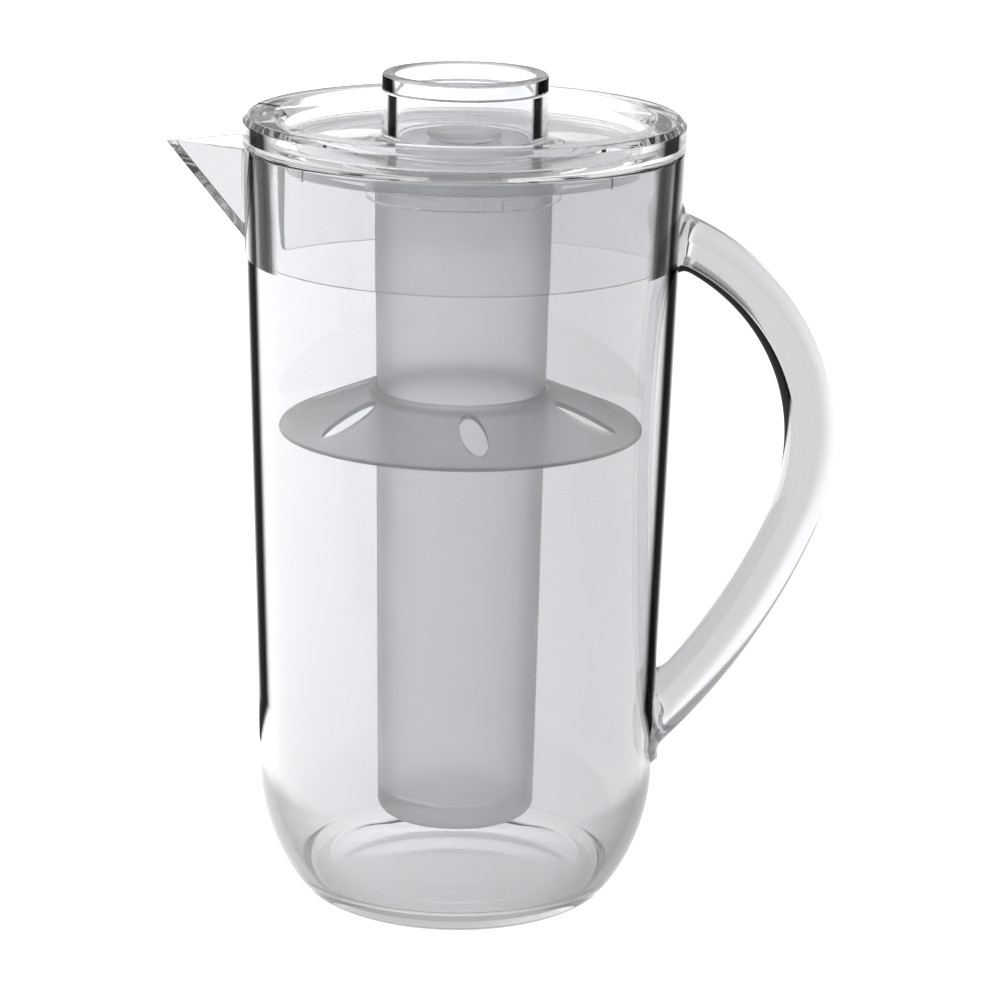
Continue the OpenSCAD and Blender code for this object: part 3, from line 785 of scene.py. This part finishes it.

# Painted shade on the clear plastic, dark bands where a wall is seen at a slant: [(cosine of the slant, light
# let through)]
WALL_PAINTED_SHADE = [
    (0.02, 0.6), (0.07, 0.48), (0.11, 0.28), (0.15, 0.11), (0.19, 0.04),
    (0.265, 0.03), (0.29, 0.22), (0.32, 0.7), (0.35, 1),
]
SHOULDER_PAINTED_SHADE = [(0.02, 0.42), (0.15, 0.5), (0.35, 0.56), (0.50, 0.72), (0.65, 0.92), (0.78, 1)]
UPPER_PAINTED_SHADE = [
    (0.02, 0.75), (0.10, 0.6), (0.15, 0.45), (0.19, 0.3), (0.23, 0.12), (0.27, 0.06), (0.29, 0.15),
    (0.31, 0.4), (0.325, 0.4), (0.35, 0.25), (0.42, 0.2), (0.455, 0.3), (0.48, 0.7), (0.51, 1),
]
SIDE_PAINTED_SHADE = [(0.20, 0.85), (0.27, 0.1), (0.42, 0.1), (0.50, 0.7), (0.60, 1)]
SKIRT_PAINTED_SHADE = [(0.05, 0.4), (0.12, 0.25), (0.28, 0.15), (0.30, 0.2), (0.325, 0.5), (0.345, 0.8), (0.36, 1)]
MOUTH_PAINTED_SHADE = [(0.05, 0.6), (0.12, 0.1), (0.30, 0.03), (0.48, 0.03), (0.53, 0.4), (0.56, 1)]
COLLAR_PAINTED_SHADE = [(0.34, 0.9), (0.40, 0.2), (0.45, 0.08), (0.55, 0.1), (0.60, 1)]
GRIP_PAINTED_SHADE = [(0.05, 0.09), (0.30, 0.07), (0.48, 0.09), (0.55, 1)]

# How those bands of painted shade narrow along a piece: height where they are narrowest, height where they
# are full, shift
WALL_FADE = (EDGE_END, 68, 0.18)
SHOULDER_FADE = (EDGE_END, 39, 0.5)
SKIRT_FADE = (SKIRT_LOW, RIM_Z, 0.1)
GRIP_FADE = (135, 170, 0.55)

# Copies of the clear plastic; those given a table carry painted shade where seen at a slant
clear = acrylic("acrylic_clear", CLEAR)
clear_wall = acrylic("acrylic_wall_painted_shade", CLEAR, WALL_PAINTED_SHADE, WALL_FADE)
clear_shoulder = acrylic("acrylic_shoulder_painted_shade", CLEAR, SHOULDER_PAINTED_SHADE, SHOULDER_FADE)
clear_upper = acrylic("acrylic_upper_painted_shade", CLEAR, UPPER_PAINTED_SHADE)
clear_lid = acrylic("acrylic_lid", BRIGHT)
clear_dish = acrylic("acrylic_dish", DISH)
clear_lip = acrylic("acrylic_lip", LIP)
clear_side = acrylic("acrylic_side_painted_shade", BRIGHT, SIDE_PAINTED_SHADE)
clear_skirt = acrylic("acrylic_skirt_painted_shade", BRIGHT, SKIRT_PAINTED_SHADE, SKIRT_FADE)
clear_mouth = acrylic("acrylic_mouth_painted_shade", BRIGHT, MOUTH_PAINTED_SHADE)
clear_collar = acrylic("acrylic_collar_painted_shade", BRIGHT, COLLAR_PAINTED_SHADE)
clear_thick = acrylic("acrylic_handle", THICK, rough=0.1)
clear_grip = acrylic("acrylic_grip_painted_shade", THICK, GRIP_PAINTED_SHADE, GRIP_FADE)
frost = frosted("polymer_frosted", (0.97, 0.975, 0.985, 1), transmission=0.93, rough=0.35)
frost_dense = frosted("polymer_frosted_dense", (0.98, 0.982, 0.99, 1), transmission=0.85, rough=0.42)
soft = frosted("silicone_soft", (0.92, 0.92, 0.91, 1), transmission=0.6, rough=0.5)
satin = frosted("acrylic_satin", (0.66, 0.665, 0.675, 1), transmission=0.9, rough=0.35)
# Near-black painted shade on the lip's crease and the window's cut faces
cut = frosted("acrylic_painted_shade", (0.03, 0.03, 0.032, 1), transmission=0.12, rough=0.15)

# Where each finish goes: tests of a face's middle in millimetres, its normal and its outward slant
UPRIGHT = 0.9        # outward slant of a face on an upright outer wall
LEVEL = 0.95         # rise of a level face's normal
NEAR = 0.1           # how close a face lies to the height or radius that it is told by
OUTER_SKIN = 1.0     # a face further than this outside the bore is on the vessel's outside
FOOT_BAND = 6.0
NOTCH_X = -60.0
NOTCH_LOW = 200.0
CREASE_X = -72.0
WINDOW_X = -50.0
WINDOW_DEPTH = 3.0


def on_wall(p, n, outward):
    """Outside of the vessel above the shoulder."""
    return outward > 0 and p.z > EDGE_END and p.xy.length > bore_r(p.z) + OUTER_SKIN


def on_shoulder(p, n, outward):
    """Outside of the vessel up to where the shoulder's finish ends."""
    return outward > 0.3 and p.z < EDGE_END


def on_foot(p, n, outward):
    """Low band round the foot, without the flat underside."""
    return p.z < FOOT_BAND and n.z > -0.97 and outward > 0.1


def on_upper(p, n, outward):
    """Outside of the vessel where the lid's skirt is behind it."""
    return outward > UPRIGHT and p.z > SKIRT_LOW and p.xy.length > bore_r(p.z) + OUTER_SKIN


def on_notch(p, n, outward):
    """Cut faces of the notch behind the lip, without the rim's top."""
    return p.x < NOTCH_X and p.z > NOTCH_LOW and abs(outward) < 0.8 and n.z < 0.5


def on_crease(p, n, outward):
    """Rounded crease of the lip, without its side walls and top."""
    return p.x < CREASE_X and abs(n.y) < 0.6 and n.z < 0.9


def on_side(p, n, outward):
    """Upright side of the lid above its lower band."""
    return outward > UPRIGHT and SIDE_LOW < p.z < LID_TOP - LID_EDGE + 0.5 and p.xy.length > LID_R - 1


def on_under(p, n, outward):
    """Underside of the well and the socket's ceiling."""
    return p.xy.length < SOCKET_R and UNDER_Z - 0.5 < p.z < WELL_Z - NEAR


def on_dish(p, n, outward):
    """Level faces of the dish's floor, above and below."""
    return abs(n.z) > LEVEL and UNDER_Z - NEAR < p.z < DISH_Z + NEAR and p.xy.length > COLLAR_R


def on_window(p, n, outward):
    """Upright cut faces of the skirt's window."""
    in_skirt = SKIRT_LOW - 1 < p.z < RIM_Z - 1 and p.xy.length > SKIRT_IN - WINDOW_DEPTH
    return in_skirt and p.x < WINDOW_X and abs(n.y) > 0.8


def on_skirt(p, n, outward):
    """Outside of the skirt."""
    return outward > UPRIGHT and p.z < RIM_Z and p.xy.length > DRIP_R + DRIP_INSET


def on_mouth(p, n, outward):
    """Outside of the collar beside its mouth."""
    return outward > UPRIGHT and p.z > MOUTH_LOW and p.xy.length < COLLAR_R + NEAR


def on_collar(p, n, outward):
    """Outside of the collar below its mouth."""
    return outward > UPRIGHT and COLLAR_LOW < p.z < COLLAR_HIGH and p.xy.length < COLLAR_R + NEAR


def on_grip(p, n, outward):
    """Crowned inner face of the handle, told by its distance from the line that the bar follows."""
    x, z, nx, nz = min(HANDLE_LINE, key=lambda s: (s[0] - p.x) ** 2 + (s[1] - p.z) ** 2)
    return (p.x - x) * nx + (p.z - z) * nz < HANDLE_CROWN - HANDLE_T / 2 - 0.05


def add_finish(piece, finish, where):
    """Gives the faces that pass a test a finish of their own."""
    piece.data.materials.append(finish)
    index = len(piece.data.materials) - 1
    for f in piece.data.polygons:
        outward = f.normal.xy.dot(f.center.xy.normalized())
        if where(f.center / MM, f.normal, outward):
            f.material_index = index


# The pieces: how each is made, its body, CAD node, material slot, main finish and other finishes
PIECES = [
    (make_body, "vessel", "pitcher_body", "clear_acrylic", clear, [
        (clear_wall, on_wall), (clear_shoulder, on_shoulder), (clear_lid, on_foot), (clear_upper, on_upper),
        (satin, on_notch),
    ]),
    (make_lip, "vessel", "pour_spout", "clear_acrylic", clear_lip, [(cut, on_crease)]),
    (make_handle, "vessel", "handle", "clear_acrylic", clear_thick, [(clear_grip, on_grip)]),
    (make_lid, "cover", "lid", "clear_acrylic", clear_lid, [
        (clear_skirt, on_skirt), (clear_mouth, on_mouth), (clear_collar, on_collar), (clear_side, on_side),
        (satin, on_under), (clear_dish, on_dish), (cut, on_window),
    ]),
    (make_seal, "cover", "core_seal", "silicone", soft, []),
    (make_tube, "core", "core_tube", "frosted_polymer", frost, []),
    (make_plug, "plug", "core_plug", "frosted_polymer", frost_dense, []),
    (make_baffle, "baffle", "fruit_baffle", "frosted_polymer", frost_dense, []),
]
for make, body, node, slot, finish, extra in PIECES:
    piece = make()
    piece.data.materials.append(finish)
    for more, where in extra:
        add_finish(piece, more, where)
    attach(piece, body)
    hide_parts(node)

# Floor: a pale glowing disc, in metres, with a painted pool of light behind the object and to its left
FLOOR_SIZE = 6.0
FLOOR_DROP = 0.0003
FLOOR_GLOW = 1.55
FLOOR_SHADE = 0.63
FLOOR_FADES = (("X", (0.12, -0.12)), ("Y", (-0.6, 0.3)))
bm = bmesh.new()
bmesh.ops.create_circle(bm, cap_ends=True, radius=FLOOR_SIZE, segments=96)
floor = new_object("floor", bm)
floor.location.z = -FLOOR_DROP
pale, tree, shader = material("floor_pale", Base_Color=(0.1, 0.1, 0.1, 1), Emission_Strength=FLOOR_GLOW)
vary(tree, noise(tree, scale=3), 0.18, 0.22, shader.inputs["Roughness"])
split = tree.nodes.new("ShaderNodeSeparateXYZ")
tree.links.new(places(tree), split.inputs["Vector"])
# Painted pool of light: the glow falls to the floor's shade towards the front and the right
fades = [mapped(tree, split.outputs[axis], ends, kind="SMOOTHSTEP") for axis, ends in FLOOR_FADES]
glow = reckon(tree, "MULTIPLY", *fades)
ramp(tree, glow, [(0, FLOOR_SHADE), (1, 1.0)], shader.inputs["Emission Color"])
floor.data.materials.append(pale)

# Light: a wide soft light overhead and to the left, over a dim horizon
LIGHT_FROM = Vector((-0.62, -0.12, 0.78))
LIGHT_RAMP = [(0.0, 0.6), (0.25, 0.62), (0.62, 0.95), (1.0, 1.5)]    # (cosine to the light, brightness)
scene = bpy.context.scene
scene.world = bpy.data.worlds.new("studio")
scene.world.use_nodes = True
tree = scene.world.node_tree
aim = tree.nodes.new("ShaderNodeVectorMath")
aim.operation = "DOT_PRODUCT"
aim.inputs[1].default_value = LIGHT_FROM.normalized()
tree.links.new(tree.nodes.new("ShaderNodeTexCoord").outputs["Generated"], aim.inputs[0])
ramp(tree, aim.outputs["Value"], LIGHT_RAMP, tree.nodes["Background"].inputs["Color"])

# Camera, as fitted to the photograph: place in metres, angles in radians
CAMERA_PLACE = (0, -1.09305, 0.43280)
YAW, PITCH, ROLL = 0.0121, 0.2690, 0.0177
SENSOR = 36
LENS_LENGTH = 3.478      # in widths of the frame
forward = Vector((math.sin(YAW) * math.cos(PITCH), math.cos(YAW) * math.cos(PITCH), -math.sin(PITCH)))
right = Vector((math.cos(YAW), -math.sin(YAW), 0))
up = right.cross(forward)
side = math.cos(ROLL) * right + math.sin(ROLL) * up
top = -math.sin(ROLL) * right + math.cos(ROLL) * up
facing = Matrix((side, top, -forward)).transposed().to_4x4()
camera = bpy.data.objects.new("camera", bpy.data.cameras.new("camera"))
camera.data.sensor_width = SENSOR
camera.data.lens = SENSOR * LENS_LENGTH
camera.matrix_world = Matrix.Translation(CAMERA_PLACE) @ facing
scene.collection.objects.link(camera)
scene.camera = camera

# Plain colours, and enough bounces for light to pass through all the clear walls
BOUNCES = 32
scene.view_settings.view_transform = "Standard"
scene.cycles.max_bounces = BOUNCES
scene.cycles.transmission_bounces = BOUNCES
scene.cycles.glossy_bounces = 12
scene.cycles.use_denoising = True
